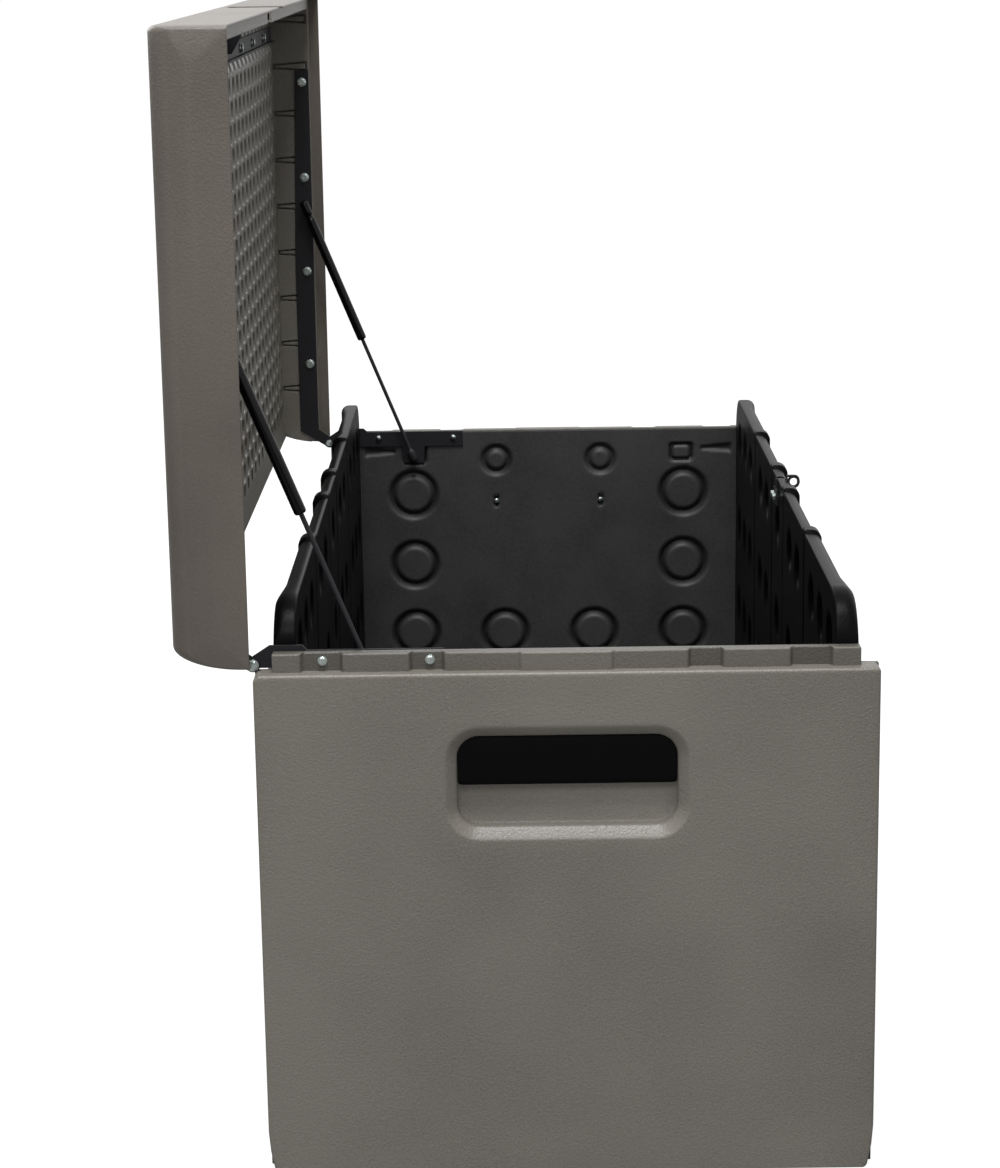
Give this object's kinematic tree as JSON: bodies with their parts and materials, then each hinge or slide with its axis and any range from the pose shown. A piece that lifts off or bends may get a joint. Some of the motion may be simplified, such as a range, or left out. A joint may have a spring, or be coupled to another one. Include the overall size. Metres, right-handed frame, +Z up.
{
  "type": "garden storage box",
  "caption": "Long double-walled outdoor storage box with a deep hinged lid on gas struts, handholds in the end panels and a padlock eye.",
  "frame": {"origin": "centre of the footprint, on the ground", "axes": "+X along the box, -Y the front that opens, +Y the hinge side, +Z up; the lid is modelled open"},
  "size_m": [1.534, 0.823, 1.367],
  "materials": {
    "taupe_plastic": "fine pebble texture",
    "black_plastic": "fine pebble texture",
    "black_steel": "satin powder coat",
    "zinc": "zinc plated"
  },
  "bodies": {
    "box": {"floor_panel": "black_plastic", "right_end_skin": "taupe_plastic", "left_end_skin": "taupe_plastic", "right_end_liner": "black_plastic", "left_end_liner": "black_plastic", "right_grip": "black_plastic", "left_grip": "black_plastic", "right_grip_screw_front": "zinc", "left_grip_screw_front": "zinc", "right_grip_screw_rear": "zinc", "left_grip_screw_rear": "zinc", "rear_skin": "taupe_plastic", "rear_liner": "black_plastic", "front_skin": "taupe_plastic", "front_liner": "black_plastic", "right_hinge_bracket": "black_steel", "left_hinge_bracket": "black_steel", "right_pivot_bolt": "zinc", "left_pivot_bolt": "zinc", "right_lip_bolt_1": "zinc", "left_lip_bolt_1": "zinc", "right_lip_bolt_2": "zinc", "left_lip_bolt_2": "zinc", "padlock_eye": "black_steel", "eye_bolt_1": "zinc", "eye_bolt_2": "zinc", "right_lower_stud": "zinc", "left_lower_stud": "zinc"},
    "lid": {"lid_shell": "taupe_plastic", "lid_liner": "taupe_plastic", "right_lid_arm": "black_steel", "left_lid_arm": "black_steel", "right_arm_bolt_1": "zinc", "left_arm_bolt_1": "zinc", "right_arm_bolt_2": "zinc", "left_arm_bolt_2": "zinc", "right_arm_bolt_3": "zinc", "left_arm_bolt_3": "zinc", "right_arm_bolt_4": "zinc", "left_arm_bolt_4": "zinc", "lock_bar": "black_steel", "hasp_plate": "black_steel", "bar_bolt_1": "zinc", "bar_bolt_2": "zinc", "bar_bolt_3": "zinc", "bar_bolt_4": "zinc", "bar_bolt_5": "zinc", "bar_bolt_6": "zinc", "hasp_bolt_1": "zinc", "hasp_bolt_2": "zinc"},
    "right_rod": {"right_strut_rod": "black_steel"},
    "left_rod": {"left_strut_rod": "black_steel"},
    "right_cylinder": {"right_strut_cylinder": "black_steel", "right_upper_stud": "zinc"},
    "left_cylinder": {"left_strut_cylinder": "black_steel", "left_upper_stud": "zinc"}
  },
  "joints": [
    {"name": "lid_hinge", "type": "hinge", "parent": "box", "child": "lid", "pos_m": [0, 0.367, 0.63], "axis": [1, 0, 0], "range_deg": [0, 90]},
    {"name": "right_strut_swing", "type": "hinge", "parent": "box", "child": "right_rod", "pos_m": [0.713, 0.226, 0.606], "axis": [1, 0, 0], "range_deg": [0, 100.4]},
    {"name": "left_strut_swing", "type": "hinge", "parent": "box", "child": "left_rod", "pos_m": [-0.713, 0.226, 0.606], "axis": [1, 0, 0], "range_deg": [0, 100.4]},
    {"name": "right_strut_slide", "type": "slide", "parent": "right_rod", "child": "right_cylinder", "axis": [0, -0.3729, -0.9279], "range_m": [0, 0.193]},
    {"name": "left_strut_slide", "type": "slide", "parent": "left_rod", "child": "left_cylinder", "axis": [0, -0.3729, -0.9279], "range_m": [0, 0.193]}
  ],
  "couplings": [
    {"joint": "right_strut_swing", "follows": "lid_hinge", "ratio": 1.1143},
    {"joint": "left_strut_swing", "follows": "lid_hinge", "ratio": 1.1143},
    {"joint": "right_strut_slide", "follows": "lid_hinge", "m_per_rad": 0.12255},
    {"joint": "left_strut_slide", "follows": "lid_hinge", "m_per_rad": 0.12255}
  ]
}
